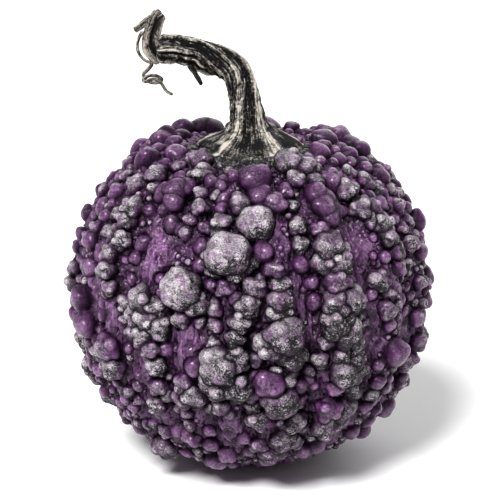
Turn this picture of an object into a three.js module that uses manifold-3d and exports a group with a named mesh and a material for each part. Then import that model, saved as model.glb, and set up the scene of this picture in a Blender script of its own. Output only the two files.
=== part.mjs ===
// Warty pumpkin with a dry, curled stem. Millimetres, +Z up.
// The origin is at the middle of the flat spot that the fruit rests on.
// Azimuth 0 faces -Y and positive azimuths turn towards +X. Latitude 0 is the fruit's widest level.
import * as THREE from 'three';
import { mergeVertices } from 'three/addons/utils/BufferGeometryUtils.js';
import Module from 'manifold-3d';

const wasm = await Module();
wasm.setup();

// ---- Driving dimensions ----
const CREST_RADIUS = 108;        // fruit's radius on a rib's crest, bare of warts
const TOP_HEIGHT = 104;          // widest level up to the top, before the dish is sunk
const BOTTOM_HEIGHT = 107.5;     // widest level down to the bottom, before the flat is cut
const WAIST_HEIGHT = 106;        // height of the widest level above the resting face
const TOP_SQUARENESS = 2.3;      // exponent of the upper profile: 2 is an ellipse
const BOTTOM_SQUARENESS = 2.05;
const DISH_DEPTH = 13;           // hollow round the stem
const DISH_REACH = 42;
const GROOVE_DEPTH = 6;          // groove between two ribs that stand WIDEST_GAP apart
const WIDEST_GAP = 26;
const WART_LIFT = -0.15;         // height of a wart's centre over the rind, as a share of its radius
const TOUCH_GAP = 0.3;           // clearance between pieces that touch
const SURFACE_DETAIL = 20;       // the fruit's surface is a 20-sided ball with each edge cut into this many + 1

// Azimuths of the rib crests, in degrees.
const RIBS = [
  -86, -68, -51, -33, -20, -7, 9, 28, 53, 76, 96, 115, 134, 153, 172, 191, 210, 229, 248,
];
const FIRST_BACK_RIB = 10;       // from here on, a formula places the warts
const BACK_WARTS_PER_RIB = 8;
const BACK_LOWEST = -44;         // latitude of the lowest of them
const BACK_SPACING = 15;         // degrees of latitude from one to the next

// The larger warts of the front ribs, rib by rib from left to right: [azimuth, latitude, radius].
const FRONT_WARTS = [
  // far left ribs
  [-90, 41, 6], [-87, 16, 6], [-85, 9, 7], [-84, -4, 7], [-72, 54, 10], [-62, 62, 8], [-76, 46, 6],
  [-76, 34, 8], [-68, 24, 7], [-65, 15, 6], [-68, 4, 10], [-66, -5, 9], [-60, -12, 8], [-66, -24, 6],
  [-60, -38, 6], [-55, -42, 7],
  // left rib
  [-45, 56, 6], [-50, 50, 8], [-58, 45, 9], [-50, 36, 8], [-61, 33, 7], [-55, 28, 7], [-49, 27, 7],
  [-52, 21, 8], [-51, 15, 8], [-44, 6, 8], [-41, -1, 7], [-50, -7, 9], [-50, -14, 9], [-46, -25, 6],
  [-46, -37, 6], [-46, -49, 10],
  // rib left of the middle
  [-33, 61, 8], [-40, 45, 7], [-32, 47, 9], [-32, 41, 7], [-35, 11, 9], [-31, 9, 8], [-36, 4, 9], [-30, 3, 9],
  [-34, 0, 8], [-30, -4, 8], [-31, -11, 7], [-31, -17, 7], [-33, -24, 7], [-28, -21, 7], [-33, -36, 6],
  [-26, 54, 9], [-21, 46, 6], [-20, 41, 7], [-23, 34, 7], [-17, 32, 6], [-21, 16, 13], [-17, 12, 9],
  [-21, 7, 7], [-18, -8, 7], [-19, -16, 9], [-22, -20, 8], [-22, -31, 6], [-22, -39, 7], [-18, -51, 8],
  // middle ribs
  [-11, 43, 6], [-10, 36, 8], [-8, 27, 15], [-1, 25, 8], [3, 53, 11], [-4, 43, 8], [10, 43, 8], [3, 37, 12],
  [5, 28, 7], [1, 18, 9], [-8, 17, 7], [-1, 12, 9], [-10, 10, 7], [-4, 6, 8], [-9, -7, 13], [-7, -13, 13],
  [-10, -22, 7], [-9, -47, 7],
  [16, 48, 6], [18, 42, 6], [18, 36, 7], [18, 30, 7], [8, 23, 7], [9, 14, 9], [9, 10, 8], [10, 2, 14],
  [11, -3, 12], [6, -13, 10], [1, -18, 7], [9, -20, 11], [17, -18, 7], [4, -28, 9], [16, -31, 9],
  [12, -36, 9], [10, -43, 9], [17, -41, 9], [4, -41, 7],
  // rib right of the middle
  [25, 60, 10], [31, 57, 9], [24, 52, 7], [33, 50, 7], [31, 43, 11], [26, 33, 7], [27, 28, 10], [28, 22, 10],
  [28, 16, 9], [21, 15, 6], [27, 10, 10], [32, 11, 10], [35, 6, 8], [27, 5, 10], [30, 2, 10], [24, -7, 7],
  [34, -5, 8], [35, -9, 9], [30, -12, 10], [37, -15, 9], [28, -17, 6], [37, -22, 8], [27, -24, 9],
  [33, -27, 10], [28, -31, 10], [36, -33, 8], [42, -30, 6], [30, -44, 7],
  // right ribs
  [37, 56, 7], [43, 50, 8], [47, 45, 9], [48, 38, 8], [52, 36, 8], [57, 51, 6], [47, 15, 8], [49, 5, 7],
  [53, -10, 10], [50, -20, 6], [56, -34, 7], [50, -42, 6],
  [58, 63, 8], [65, 57, 6], [62, 46, 8], [68, 42, 7], [53, 31, 8], [54, 26, 8], [56, 20, 8], [74, 28, 7],
  [80, 37, 7], [80, 48, 6], [77, 18, 8], [73, 8, 6], [82, 0, 9], [72, -4, 7], [66, -16, 6],
  // shoulders seen over the top
  [122, 59, 8], [114, 56, 9], [107, 53, 8], [99, 50, 7], [-142, 60, 8], [-128, 58, 9], [-112, 54, 8.5],
];

// ---- Helpers ----
const radians = (degrees) => (degrees * Math.PI) / 180;

// Turns a closed geometry into a solid that can be joined and cut.
function solid(geometry) {
  const bare = geometry.clone();
  bare.deleteAttribute('normal');
  bare.deleteAttribute('uv');
  const merged = mergeVertices(bare, 1e-4);
  const mesh = new wasm.Mesh({
    numProp: 3,
    vertProperties: new Float32Array(merged.attributes.position.array),
    triVerts: new Uint32Array(merged.index.array),
  });
  return new wasm.Manifold(mesh);
}

function geometryOf(manifold) {
  const mesh = manifold.getMesh();
  const geometry = new THREE.BufferGeometry();
  geometry.setAttribute('position', new THREE.BufferAttribute(new Float32Array(mesh.vertProperties), 3));
  geometry.setIndex(new THREE.BufferAttribute(new Uint32Array(mesh.triVerts), 1));
  geometry.computeVertexNormals();
  return geometry;
}

// Skins a stack of rings of equal point counts and closes both ends with a fan.
function loft(rings) {
  const count = rings[0].length;
  const positions = [];
  const indices = [];
  for (const ring of rings) {
    for (const point of ring) {
      positions.push(point.x, point.y, point.z);
    }
  }
  for (let row = 0; row < rings.length - 1; row += 1) {
    for (let i = 0; i < count; i += 1) {
      const next = (i + 1) % count;
      const a = row * count + i;
      const b = row * count + next;
      indices.push(a, b, a + count);
      indices.push(b, b + count, a + count);
    }
  }
  const closeEnd = (ring, offset, flip) => {
    const middle = new THREE.Vector3();
    ring.forEach((point) => middle.addScaledVector(point, 1 / count));
    const tip = positions.length / 3;
    positions.push(middle.x, middle.y, middle.z);
    for (let i = 0; i < count; i += 1) {
      const next = (i + 1) % count;
      if (flip) indices.push(tip, offset + next, offset + i);
      else indices.push(tip, offset + i, offset + next);
    }
  };
  closeEnd(rings[0], 0, true);
  closeEnd(rings[rings.length - 1], (rings.length - 1) * count, false);
  const geometry = new THREE.BufferGeometry();
  geometry.setAttribute('position', new THREE.Float32BufferAttribute(positions, 3));
  geometry.setIndex(indices);
  geometry.computeVertexNormals();
  return geometry;
}

// ---- Fruit ----
// Depth of the groove between ribs at an azimuth.
function grooveAt(azimuth) {
  const first = RIBS[0];
  const turned = ((((azimuth - first) % 360) + 360) % 360) + first;
  let left = 0;
  while (left + 1 < RIBS.length && RIBS[left + 1] <= turned) left += 1;
  const from = RIBS[left];
  const to = left + 1 < RIBS.length ? RIBS[left + 1] : first + 360;
  const across = (turned - from) / (to - from);
  const share = (to - from) / WIDEST_GAP;
  return GROOVE_DEPTH * share * Math.sin(Math.PI * across) ** 2;
}

// A point on the rind, moved out by grow.
function rind(azimuth, latitude, grow = 0) {
  const turn = radians(azimuth);
  const tilt = radians(latitude);
  const above = latitude > 0;
  const wide = CREST_RADIUS + grow - grooveAt(azimuth);
  const tall = (above ? TOP_HEIGHT : BOTTOM_HEIGHT) + grow;
  const power = above ? TOP_SQUARENESS : BOTTOM_SQUARENESS;
  const reach = ((Math.cos(tilt) / wide) ** power + Math.abs(Math.sin(tilt) / tall) ** power) ** (-1 / power);
  const out = reach * Math.cos(tilt);
  const dish = above ? DISH_DEPTH * Math.exp(-((out / DISH_REACH) ** 2)) : 0;
  const height = WAIST_HEIGHT + reach * Math.sin(tilt) - dish;
  return new THREE.Vector3(out * Math.sin(turn), -out * Math.cos(turn), height);
}

function rindNormal(azimuth, latitude) {
  const step = 1;
  const along = rind(azimuth + step, latitude).sub(rind(azimuth - step, latitude));
  const up = rind(azimuth, latitude + step).sub(rind(azimuth, latitude - step));
  return along.cross(up).normalize();
}

// The warts of the hidden ribs, spaced along each rib by a smooth formula.
function backWarts() {
  const warts = [];
  for (let rib = FIRST_BACK_RIB; rib < RIBS.length; rib += 1) {
    for (let place = 0; place < BACK_WARTS_PER_RIB; place += 1) {
      const latitude = BACK_LOWEST + BACK_SPACING * place + 4 * Math.sin(5 * rib + 3 * place);
      const azimuth = RIBS[rib] + 3 * Math.sin(7 * rib + 2 * place);
      const radius = 8.3 + 2.3 * Math.sin(3 * rib + 5 * place);
      warts.push([azimuth, latitude, radius]);
    }
  }
  return warts;
}

// Where a ray from the centre of the fruit leaves a ball, or 0 if it misses.
function rayExit(direction, ball) {
  const along = direction.dot(ball.centre);
  const square = along * along - ball.centre.lengthSq() + ball.radius ** 2;
  return square > 0 ? along + Math.sqrt(square) : 0;
}

// The fruit's outer surface: rind or wart, whichever is further out, flattened where it rests.
function fruitSolid(grow) {
  const core = new THREE.Vector3(0, 0, WAIST_HEIGHT);
  const balls = [...FRONT_WARTS, ...backWarts()].map(([azimuth, latitude, radius]) => {
    const centre = rind(azimuth, latitude).addScaledVector(rindNormal(azimuth, latitude), WART_LIFT * radius);
    return { centre: centre.sub(core), radius: radius + grow };
  });
  const geometry = new THREE.IcosahedronGeometry(1, SURFACE_DETAIL);
  const position = geometry.attributes.position;
  const direction = new THREE.Vector3();
  for (let i = 0; i < position.count; i += 1) {
    direction.fromBufferAttribute(position, i);
    const azimuth = (Math.atan2(direction.x, -direction.y) * 180) / Math.PI;
    const latitude = (Math.asin(Math.min(1, Math.max(-1, direction.z))) * 180) / Math.PI;
    const bare = rind(azimuth, latitude, grow).sub(core);
    const ray = bare.clone().normalize();
    const reach = Math.max(bare.length(), ...balls.map((ball) => rayExit(ray, ball)));
    const point = ray.multiplyScalar(reach).add(core);
    position.setXYZ(i, point.x, point.y, Math.max(point.z, 0));
  }
  return solid(geometry);
}

// ---- Stem and what hangs from it ----
// Sweeps a section along a smooth curve. outline(share, angle) is the section's radius, share runs from 0 to 1.
function sweep(points, steps, sides, outline, flatness = 1) {
  const curve = new THREE.CatmullRomCurve3(points.map((p) => new THREE.Vector3(...p)));
  const rings = [];
  let side = new THREE.Vector3(0, -1, 0);
  for (let step = 0; step <= steps; step += 1) {
    const share = step / steps;
    const middle = curve.getPointAt(share);
    const forward = curve.getTangentAt(share);
    side = side.clone().addScaledVector(forward, -side.dot(forward)).normalize();
    const across = new THREE.Vector3().crossVectors(forward, side);
    const ring = [];
    for (let i = 0; i < sides; i += 1) {
      const angle = (2 * Math.PI * i) / sides;
      const radius = outline(share, angle);
      const point = middle.clone();
      point.addScaledVector(side, radius * flatness * Math.cos(angle));
      point.addScaledVector(across, radius * Math.sin(angle));
      ring.push(point);
    }
    rings.push(ring);
  }
  return loft(rings);
}

const STEM_PATH = [
  [-1, 0, 184], [-1, 0, 196], [-1, 0, 206], [-2, 0, 220], [-5, 0, 236], [-11, -1, 247.5], [-25, -3, 255.5],
  [-42, -5, 260], [-57, -7, 260],
];
const STEM_LENGTH = 116;         // along the path
const STEM_STEPS = 30;
const STEM_SIDES = 20;
const STEM_LOBES = 5;
const STEM_RADIUS = 9.3;         // middle of the stem
const STEM_END_RADIUS = 7.9;
const PAD_REACH = 18;            // how far the foot's blunt pad stands out past the stem
const PAD_HEIGHT = 23.5;         // height of its edge above the path's start
const FLARE_REACH = 6;           // the softer flare above the pad
const FLARE_HEIGHT = 30;
const FRONT_REACH = 0.45;        // share by which the foot reaches further at the front
const VINE_FLATNESS = 0.6;       // the vine strip's thickness as a share of its width
const FOLD_FLATNESS = 0.8;

function stemOutline(share, angle) {
  const height = share * STEM_LENGTH;
  const pad = 1 / (1 + (height / PAD_HEIGHT) ** 12);
  const turned = angle + 0.45 * pad * Math.sin(angle);
  const ridge = Math.cos(STEM_LOBES * (turned - Math.PI / STEM_LOBES));
  const straight = STEM_RADIUS + (STEM_END_RADIUS - STEM_RADIUS) * share;
  const skirt = PAD_REACH * pad + FLARE_REACH * Math.exp(-((height / FLARE_HEIGHT) ** 2));
  const front = 1 + FRONT_REACH * Math.max(0, Math.cos(angle));
  return straight * (1 + 0.07 * ridge) + skirt * front * (0.9 + 0.1 * ridge);
}

function stemSolid(grow) {
  return solid(sweep(STEM_PATH, STEM_STEPS, STEM_SIDES, (share, angle) => stemOutline(share, angle) + grow));
}

// A thin strand that tapers from one radius to another.
function strand(points, steps, from, to, sides, flatness = 1) {
  return solid(sweep(points, steps, sides, (share) => from + (to - from) * share, flatness));
}

// The vine strip leaves the stem's tip and climbs, then folds back down to the left.
const VINE_CLIMB = [
  [-57.5, -7, 257.5], [-59, -8, 263], [-59, -8, 269], [-57.5, -8, 274.5], [-55.5, -7, 279.5], [-53.5, -6, 282.5],
];
const VINE_FOLD = [
  [-53.3, -6, 283], [-57, -6.5, 280.5], [-62, -7, 277.5], [-66.3, -8, 274], [-69.8, -8.5, 272],
];
const FIBRE_PATH = [
  [-64.5, -8, 271.5], [-66.8, -9, 267.5], [-67.9, -9.5, 262.5], [-66.8, -9.5, 258], [-63.9, -9, 254.3],
  [-59.5, -8, 252],
];
const TENDRIL_PATH = [
  [-58.9, -7.5, 252], [-60.1, -8, 250], [-62.3, -8.5, 247.5], [-64.3, -8.5, 245.5], [-63.9, -8, 243.3],
  [-61.7, -7.5, 240.8], [-58.6, -7, 239.7], [-55.2, -7.5, 240.2], [-53.4, -9, 242.2], [-55.6, -10.5, 244.4],
  [-59.2, -11.5, 245.2], [-62.6, -12.5, 244.4], [-64.4, -14, 242.6], [-62.6, -15.2, 241.9], [-60, -15.2, 243.2],
  [-57, -14.7, 243.3], [-54.2, -13.7, 241.4], [-52.4, -12.7, 238.7], [-50.8, -12, 236], [-48.6, -12, 234.4],
  [-46.4, -12, 233.5],
];
const TWIG_PATH = [
  [-37, -8, 252], [-33, -8.5, 245.5], [-29.2, -9.5, 238.8],
];

function vineSolid(grow) {
  const climb = strand(VINE_CLIMB, 10, 6.3 + grow, 4.2 + grow, 8, VINE_FLATNESS);
  const fold = strand(VINE_FOLD, 8, 2.7 + grow, 1.9 + grow, 8, FOLD_FLATNESS);
  return climb.add(fold);
}

function fibreSolid(grow) {
  return strand(FIBRE_PATH, 10, 1.1 + grow, 1 + grow, 6);
}

// ---- Assembly ----
const MATERIALS = {
  rind: new THREE.MeshStandardMaterial({ color: 0x6c3b74, roughness: 0.45, metalness: 0 }),
  stem: new THREE.MeshStandardMaterial({ color: 0x77736a, roughness: 0.85, metalness: 0 }),
  vine: new THREE.MeshStandardMaterial({ color: 0xa39c8c, roughness: 0.85, metalness: 0 }),
  twig: new THREE.MeshStandardMaterial({ color: 0x2c2824, roughness: 0.9, metalness: 0 }),
};

const group = new THREE.Group();

function place(name, manifold, material) {
  const mesh = new THREE.Mesh(geometryOf(manifold), material);
  mesh.name = name;
  group.add(mesh);
}

// Each later piece is cut back from slightly grown copies of the pieces that it touches.
const fruit = fruitSolid(0);
const stem = stemSolid(0).subtract(fruitSolid(TOUCH_GAP));
const stemGrown = stemSolid(TOUCH_GAP);
const vine = vineSolid(0).subtract(stemGrown);
const vineGrown = vineSolid(TOUCH_GAP);
const fibre = fibreSolid(0).subtract(vineGrown).subtract(stemGrown);
const fibreGrown = fibreSolid(TOUCH_GAP);
const tendril = strand(TENDRIL_PATH, 52, 1.4, 1.1, 6)
  .subtract(stemGrown)
  .subtract(vineGrown)
  .subtract(fibreGrown);
const twig = strand(TWIG_PATH, 4, 1.9, 1.3, 8).subtract(stemGrown);

place('pumpkin_body', fruit, MATERIALS.rind);
place('stem', stem, MATERIALS.stem);
place('vine_end', vine, MATERIALS.vine);
place('fibre_strand', fibre, MATERIALS.vine);
place('tendril', tendril, MATERIALS.vine);
place('twig_stub', twig, MATERIALS.twig);

export default group;
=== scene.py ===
"""Warty pumpkin with a dry, curled stem. Shapes are worked out in millimetres and placed in metres."""
import math
import bpy
import numpy as np
import openvdb as vdb
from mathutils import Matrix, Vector


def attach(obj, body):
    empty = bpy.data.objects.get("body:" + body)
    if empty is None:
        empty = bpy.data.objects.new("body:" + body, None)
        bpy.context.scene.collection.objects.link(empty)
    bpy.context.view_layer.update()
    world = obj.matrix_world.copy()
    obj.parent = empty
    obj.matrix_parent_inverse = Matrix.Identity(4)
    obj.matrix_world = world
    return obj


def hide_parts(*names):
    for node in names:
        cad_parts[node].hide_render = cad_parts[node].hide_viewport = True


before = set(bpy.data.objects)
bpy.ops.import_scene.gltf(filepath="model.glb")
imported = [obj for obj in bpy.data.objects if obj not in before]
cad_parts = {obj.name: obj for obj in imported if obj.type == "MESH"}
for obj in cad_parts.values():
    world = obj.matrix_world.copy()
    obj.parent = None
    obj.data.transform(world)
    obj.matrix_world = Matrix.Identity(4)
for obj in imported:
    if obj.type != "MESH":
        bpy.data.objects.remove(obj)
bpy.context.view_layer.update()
MM = 0.001

# ---- Camera ----
target = Vector((0.0, 0.0, 0.133))
elevation = math.radians(15)
camera_distance = 1.25
camera_data = bpy.data.cameras.new("camera")
camera_data.lens = 144.4
camera_data.sensor_width = 36
camera = bpy.data.objects.new("camera", camera_data)
bpy.context.collection.objects.link(camera)
camera.location = target + camera_distance * Vector((0, -math.cos(elevation), math.sin(elevation)))
camera.rotation_euler = (target - camera.location).to_track_quat("-Z", "Y").to_euler()
bpy.context.scene.camera = camera

# ---- Fruit: dimensions ----
CREST_RADIUS = 108.0
TOP_HEIGHT = 104.0
BOTTOM_HEIGHT = 107.5
WAIST_HEIGHT = 106.0
TOP_SQUARENESS = 2.3
BOTTOM_SQUARENESS = 2.05
DISH_DEPTH = 13.0
DISH_REACH = 42.0
GROOVE_DEPTH = 8.5
WIDEST_GAP = 26.0
# Azimuths of the ribs' crests: as the photo shows them, then guessed for the far side.
RIBS_SHOWN = [-86, -68, -51, -33, -20, -7, 9, 28, 53, 76]
RIBS_BEHIND = [96, 115, 134, 153, 172, 191, 210, 229, 248]
RIBS = np.array(RIBS_SHOWN + RIBS_BEHIND, float)
# Azimuths between which the photo shows the fruit, and degrees from a crest at which its row of warts ends.
SHOWN = (-80, 70)
LOW_ROW_REACH = 5.7
BACK_ROW_REACH = 6.0
# A wart with a smaller share of crust than this is a smooth bead; beads run into the rind more softly.
SMOOTH_BELOW = 0.3
BEAD_JOIN = 1.5
CRUST_JOIN = 0.6
# Radii at which a wart's build changes: from a pair of balls to a core with lobes, from three lobes to more,
# from a bead's two lobes to four, and from a wart that may be flattened to a round one.
PAIR_BELOW = 4.5
THREE_LOBES_BELOW = 6.5
FOUR_LOBED_BEAD = 8
ROUND_FROM = 10
GOLDEN_ANGLE = 2.399963
# The far side's rows: warts on each rib, and the latitudes at which they begin and end.
ROW_WARTS = 8
ROW_START = -44
ROW_SPACING = 15
ROW_END = 66

# The warts of the side that the photo shows: (azimuth, latitude, radius, share of grey crust from 0 to 1).
WARTS = [
    # far left limb
    (-88, 48, 5, .5), (-90, 41, 5, .5), (-85, 37, 5, .6), (-80, 22, 6, .6), (-87, 16, 5.5, .5),
    (-85, 10, 6.5, .6), (-76, 13, 6, .2), (-85, -1, 5, .2), (-84, -6, 6, .2), (-76, -9, 5, .3),
    (-70, -20, 4, .1), (-68, -29, 5, .1),
    # rib at -68
    (-72, 54, 9, .15), (-62, 62, 8, .1), (-76, 46, 6, .8), (-68, 40, 6, .2), (-76, 33, 7.5, .1),
    (-68, 27, 5, .7), (-68, 23, 6.5, .1), (-65, 15, 6, .1), (-68, 4, 9, .15), (-66, -4, 9, .2),
    (-62, -9, 5, .2), (-60, -12, 8, .7), (-65, -20, 5, .1), (-62, -33, 4, .1), (-60, -38, 6, .3),
    (-55, -42, 7, .2),
    # rib at -51
    (-45, 56, 6, .6), (-50, 50, 7.5, .7), (-58, 45, 9, .6), (-46, 46, 6, .7), (-58, 39, 6, .6),
    (-50, 37, 8, .8), (-61, 34, 6, .8), (-50, 33, 7, .8), (-62, 28, 6, .7), (-55, 28, 7, .8),
    (-49, 27, 7, .8), (-52, 22, 7.5, .8), (-52, 17, 8.5, .8), (-50, 12, 6.5, .8), (-51, 10, 5, .7),
    (-54, 6, 4, .1), (-54, 2, 4.5, .1), (-55, -3, 5, .4), (-50, -7, 9, .4), (-50, -14, 9, .8),
    (-47, -23, 5, .6), (-45, -27, 4.5, .4), (-43, -21, 4, .1), (-47, -38, 4.5, .3), (-44, -38, 5, .7),
    (-46, -49, 10, .7), (-41, 28, 6, .1), (-43, 23, 5, .1), (-43, 16, 4.5, .05), (-44, 8, 7, .7),
    (-44, 3, 6, .7), (-41, -1, 7, .6), (-38, -4, 4.5, .6),
    # rib at -33
    (-33, 61, 8, .5), (-40, 45, 7, .2), (-33, 46, 8.5, .1), (-30, 48, 7, .1), (-32, 42, 7, .2),
    (-35, 39, 4, .1), (-30, 35, 6, .1), (-35, 11, 9, .9), (-31, 9, 8, .9), (-37, 5, 9, .8), (-33, 5, 8, .8),
    (-30, 3, 9, .9), (-34, 0, 8, .8), (-30, 18, 4, .1), (-29, 14, 5, .1), (-26, 6, 5.5, .6),
    (-32, -4, 7, .6), (-28, -4, 6, .1), (-31, -10, 7, .8), (-31, -17, 7, .5), (-33, -24, 7, .7),
    (-28, -20, 7, .5), (-34, -36, 6, .5), (-30, -36, 5, .2), (-33, -50, 5, .5), (-26, -26, 4, .4),
    # rib at -20
    (-26, 54, 9, .9), (-19, 51, 5, .2), (-14, 50, 4, .05), (-14, 53, 4, .1), (-21, 46, 5.5, .7),
    (-15, 46, 4.5, .8), (-20, 41, 6.5, .6), (-22, 37, 5.5, .5), (-23, 33, 6, .7), (-26, 34, 5, .1),
    (-17, 35, 5.5, .4), (-17, 29, 6, .2), (-17, 23.5, 5, .2), (-21, 16, 13, 1), (-17, 12, 9, .9),
    (-21, 7, 6.5, .8), (-16, 6, 4.5, .6), (-18, -8, 6.5, .15), (-21, -14, 7, .6), (-19, -18, 9, .7),
    (-22, -20, 8, .6), (-22, -26, 5, .6), (-22, -31, 5, .6), (-23, -38, 7, .4), (-16, -34, 5, .3),
    (-17, -41, 6, .2), (-18, -52, 8, .3),
    # rib at -7
    (-8, 54, 5, .05), (-11, 45, 4.5, .1), (-11, 41.5, 5, .15), (-10, 37, 7, .9), (-11, 33, 6, .8),
    (-7, 27, 14, 1), (-11.5, 27, 9, 1), (-1.5, 25, 8, .9), (-5, 22, 7, .9), (-11, 22, 6, .9),
    (-12.5, 18, 5.5, .4), (-7.5, 17, 6.5, .5), (-5, 14.5, 5, .3), (-10.5, 10.5, 6.5, .6), (-1.5, 12, 9, .7),
    (-4, 7, 8, .8), (-10, 5.5, 6, .6), (-5, 2, 7, .8), (-10.5, -.5, 5.5, .7), (-9, -7, 12, 1),
    (-5, -5, 9, 1), (-10, -13, 11, 1), (-5, -14, 10, 1), (-9, -21.5, 6.5, .6), (-12, -24, 6, .7),
    (-7, -24.5, 4, .1), (-10, -47, 7, .3), (-3, -37, 5, .1), (-1, -46, 5, .1),
    # top of the middle
    (3, 53, 11, 0), (5, 46, 8, .1), (-4, 43, 8, .5), (10, 43, 8, .5), (3, 37, 12, 1), (5, 28, 7, .1),
    (8, 23, 7, .4), (1.5, 18, 9, .6),
    # rib at 9
    (16, 48, 6, .3), (18, 43, 5, .8), (18, 36, 6.5, .8), (18, 30, 6.5, .8), (17, 24, 6, .1),
    (9.5, 18, 7, .8), (9.5, 13.5, 9, .8), (9, 10, 8, .8), (10, 3, 13, 1), (12, -3, 11, 1), (7, 0, 10, .9),
    (2, -1.5, 4.5, .1), (2, -5.5, 6, .6), (8, -8.5, 5, .8), (2, -12, 7, .4), (6.5, -13, 10, .3),
    (.5, -18, 7, .5), (1, -23, 6.5, .8), (4, -28, 9, .7), (9.5, -20, 11, .8), (12, -13, 6, .8),
    (16.5, -16, 6.5, .1), (17, -22, 6, .4), (16, -31, 9, .8), (12, -36, 9, .8), (10, -44, 9, .7),
    (17, -41, 9, .7), (4, -41, 7, .5), (8, -50, 6, .2), (24, -46, 6, .3),
    # rib at 28
    (25, 60, 10, .8), (30, 57, 9, .7), (24, 52, 7, .6), (37, 56, 7, .8), (33, 50, 6.5, .8), (29, 45, 8, .1),
    (32.5, 43, 7.5, .1), (29.5, 40.5, 8, .15), (34, 39.5, 7, .1), (31, 36.5, 6.5, .15), (26, 33, 7, .5),
    (27, 28, 10, .6), (25, 23.5, 8, .8), (29.5, 23, 9, .8), (28, 17, 9, .6), (21, 18, 5, .1),
    (21.5, 12, 6, .1), (34.5, 27, 5, .8), (34, 23, 4.5, .1), (34, 17, 5, .1), (27, 11, 9, .9),
    (32, 11, 10, 1), (35, 6, 8, .9), (27, 5, 10, 1), (30, 2, 10, 1), (41, 2.5, 5.5, .5),
    (24.5, -1, 5.5, .7), (23, -7, 6.5, .7), (20, -11, 4.5, .6), (20, -14, 4, .1), (22, -16.5, 3.5, .1),
    (28, -17, 6, .3), (34.5, -5, 8, .9), (29, -5.5, 6.5, .9), (35, -9, 9, .8), (30, -12, 10, .9),
    (37, -14, 9, .8), (39, -17, 6, .7), (37, -22, 8, .8), (27, -24, 9, .4), (33, -27, 10, .7),
    (28, -31, 10, .7), (36, -33, 8, .6), (42, -30, 6, .2), (30, -44, 7, .2), (25, -46, 7, .2),
    # rib at 53
    (43, 50, 8, .3), (47, 45, 8.5, .9), (48, 38, 8, .7), (52, 37, 7, .7), (50, 33, 6.5, .7),
    (57, 51, 6, .8), (47, 15, 8, .8), (45, 11, 4.5, .2), (49.5, 10.5, 5, .6), (49, 5, 7, .5),
    (50, 0, 5, .1), (53, -10, 9.5, .2), (49, -20, 6, .1), (48, -30, 5, .3), (56, -33, 6, .5),
    (56, -38, 6, .1), (50, -42, 6, .1), (58, 63, 8, .1), (65, 57, 6, .1), (62, 46, 8, .6),
    (68, 42, 6.5, .7), (65, 38, 6, .2), (53, 31, 8, .8), (54, 27, 7.5, .8), (56, 22, 7.5, .7),
    (56, 17, 6.5, .4), (62.5, 13, 4.5, .5), (63, 5, 4, .2), (65, 0, 4.5, .2), (60, -10, 5, .1),
    (66, -13, 5, .2), (64, -20, 4, .1), (64, -28, 6, .3),
    # right limb
    (75, 65, 6, .1), (70, 54, 5, .1), (80, 51, 5, .1), (95, 48, 5, .7), (82, 36, 5, .3), (75, 28, 5, .4),
    (71, 27, 5, .5), (76, 17, 6.5, .1), (67, 21, 4, .1), (73, 8, 6, .5), (82, 0, 9, .2), (72, -4, 7, .5),
]

# The same for the shoulders seen over the top, where the warts stand higher.
SHOULDER_WARTS = [
    (122, 59, 8, .1), (113, 57, 8.5, .1), (105, 55, 8, .1), (97, 52, 7, .2), (150, 62, 6, .5),
    (165, 66, 6, .6), (-144, 62, 8, .05), (-130, 60, 9, .1), (-116, 58, 8.5, .1), (-103, 54, 6, .5),
    (-92, 50, 5, .4),
]

# Strips of bare rind between the rows: (azimuth, half width, lowest latitude, highest latitude).
BARE = [
    (-34, 6, 10, 38), (-39, 3.5, -35, -5), (-59, 3, 0, 30), (-48, 3, -3, 5), (-24, 2.5, -10, 18),
    (-16, 2.5, -6, 4), (-8, 6, -42, -27), (14.5, 2.5, -15, 30), (21, 1.5, 0, 10), (40, 5, 8, 32),
    (44, 3, -5, 15), (43, 3, -25, -5), (59, 3, -5, 20), (-57, 3, -45, -15), (-30, 2, -45, -30),
    (-16, 2, -45, -24), (-14, 2, 28, 45), (22, 2, -45, -26), (60, 3.5, -40, -8), (20, 2, 22, 42),
    (-2, 1.5, -42, -25),
]
# Places, as (azimuth, latitude): shoulder warts that the rows leave free, and smoother and lumpier warts.
SHOULDER_SPOTS = [(105, 55), (122, 59), (-130, 60), (-110, 56)]
SMOOTH_SPOTS = [(-8, 27), (-21, 16), (3, 53), (3, 37), (31, 42)]
LUMPY_SPOTS = [(30, 7), (10, 0), (-8, -10), (-34, 6), (30, -28), (13, -36), (50, 36)]

# Smaller warts for the gaps, the largest first: (radius, tries, share of the radius that may overlap).
FILLERS = [
    (7.5, 1500, 0.3), (6, 2500, 0.35), (4.6, 1500, 0.4), (3.6, 1800, 0.4), (2.8, 2600, 0.4),
    (2.1, 3600, 0.35), (1.6, 3600, 0.3),
]

random = np.random.default_rng(11)
LATTICE = random.uniform(-1, 1, (64, 64, 64)).astype(np.float32)


def noise(points, size):
    """Smooth noise from -1 to 1 with bumps about size apart; size may hold one number for each axis."""
    cell = points / size
    corner = np.floor(cell).astype(int)
    part = cell - corner
    part = part * part * (3 - 2 * part)
    total = np.zeros(len(points))
    for dx in (0, 1):
        for dy in (0, 1):
            for dz in (0, 1):
                weight = np.prod(np.where((dx, dy, dz), part, 1 - part), axis=1)
                i, j, k = ((corner + (dx, dy, dz)) & 63).T
                total += weight * LATTICE[i, j, k]
    return total


def smooth_min(a, b, width):
    """The smaller of two distances, rounded over where they differ by less than width."""
    overlap = np.maximum(width - np.abs(a - b), 0) / width
    return np.minimum(a, b) - overlap * overlap * width / 4


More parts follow.
